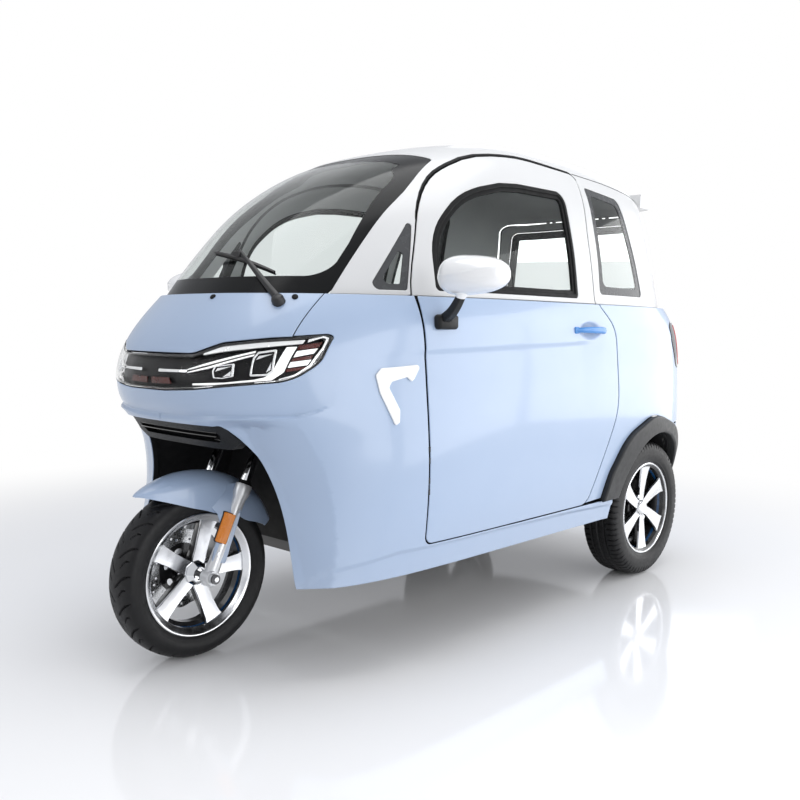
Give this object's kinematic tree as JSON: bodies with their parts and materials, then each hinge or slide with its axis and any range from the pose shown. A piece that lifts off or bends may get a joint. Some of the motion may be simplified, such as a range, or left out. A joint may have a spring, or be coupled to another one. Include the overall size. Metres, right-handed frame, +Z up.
{
  "type": "three wheeled car",
  "caption": "Small enclosed electric three-wheeler with a fork-steered front wheel, side doors, large windscreen and a rear hatch.",
  "frame": {"origin": "on the ground, at the middle of the vehicle's length and width", "axes": "+X forward, +Y to the vehicle's left, +Z up"},
  "size_m": [2.2883, 1.49, 1.518],
  "materials": {
    "blue_paint": "gloss",
    "white_paint": "gloss",
    "glass": "clear",
    "black_plastic": "matte",
    "aluminium": "satin",
    "chrome": "polished",
    "steel": "satin",
    "tyre": "matte",
    "frame_black": "satin",
    "seat": "matte",
    "handle_blue": "gloss",
    "lamp_red": "gloss",
    "trim_grey": "matte"
  },
  "bodies": {
    "body": {"arch_flares": "black_plastic", "battery_pack": "trim_grey", "bonnet": "blue_paint", "chassis_frame": "frame_black", "dash_panel": "black_plastic", "door_hinges": "frame_black", "driver_seat": "seat", "floor_pan": "black_plastic", "front_panel": "blue_paint", "headlamp_lens": "glass", "headlamp_tray": "trim_grey", "intake_grille": "black_plastic", "leaf_springs": "frame_black", "rear_axle": "steel", "rear_bumper": "blue_paint", "rear_liners": "black_plastic", "rear_quarters": "blue_paint", "rear_seat": "seat", "rear_spoiler": "white_paint", "roof_panel": "white_paint", "seat_box": "frame_black", "side_trims": "black_plastic", "side_windows": "glass", "sills": "blue_paint", "tail_lamps": "lamp_red", "tailgate_hinges": "frame_black", "upper_frame": "white_paint", "wheel_well_liner": "black_plastic", "windshield": "glass", "wiper": "black_plastic"},
    "door_left": {"door_skin_left": "blue_paint", "door_frame_left": "white_paint", "door_window_left": "glass", "door_handle_left": "handle_blue", "mirror_left": "white_paint", "mirror_arm_left": "black_plastic"},
    "door_right": {"door_skin_right": "blue_paint", "door_frame_right": "white_paint", "door_window_right": "glass", "door_handle_right": "handle_blue", "mirror_right": "white_paint", "mirror_arm_right": "black_plastic"},
    "tailgate": {"tailgate": "blue_paint", "tailgate_frame": "white_paint", "tailgate_window": "glass"},
    "steering": {"steering_stem": "frame_black", "handlebar": "frame_black", "fork_tubes": "chrome", "fork_sliders": "aluminium", "front_axle": "steel", "front_mudguard": "blue_paint", "brake_caliper": "steel"},
    "front_wheel": {"front_rim": "aluminium", "front_tyre": "tyre", "front_brake_disc": "steel"},
    "rear_wheel_left": {"rear_rim_left": "aluminium", "rear_tyre_left": "tyre"},
    "rear_wheel_right": {"rear_rim_right": "aluminium", "rear_tyre_right": "tyre"}
  },
  "joints": [
    {"name": "steering_pivot", "type": "hinge", "parent": "body", "child": "steering", "pos_m": [0.88135, 0, 0.21284], "axis": [-0.4384, 0, 0.8988], "range_deg": [-35, 35]},
    {"name": "front_wheel_spin", "type": "hinge", "parent": "steering", "child": "front_wheel", "pos_m": [0.9155, 0, 0.2295], "axis": [0, 1, 0], "continuous": true},
    {"name": "rear_left_spin", "type": "hinge", "parent": "body", "child": "rear_wheel_left", "pos_m": [-0.7245, 0.436, 0.247], "axis": [0, 1, 0], "continuous": true},
    {"name": "rear_right_spin", "type": "hinge", "parent": "body", "child": "rear_wheel_right", "pos_m": [-0.7245, -0.436, 0.247], "axis": [0, 1, 0], "continuous": true},
    {"name": "door_left_hinge", "type": "hinge", "parent": "body", "child": "door_left", "pos_m": [0.5285, 0.5205, 0.55], "axis": [0, 0, 1], "range_deg": [-65, 0]},
    {"name": "door_right_hinge", "type": "hinge", "parent": "body", "child": "door_right", "pos_m": [0.5285, -0.5205, 0.55], "axis": [0, 0, 1], "range_deg": [0, 65]},
    {"name": "tailgate_hinge", "type": "hinge", "parent": "body", "child": "tailgate", "pos_m": [-0.98765, 0, 1.3555], "axis": [0, 1, 0], "range_deg": [0, 80]}
  ]
}
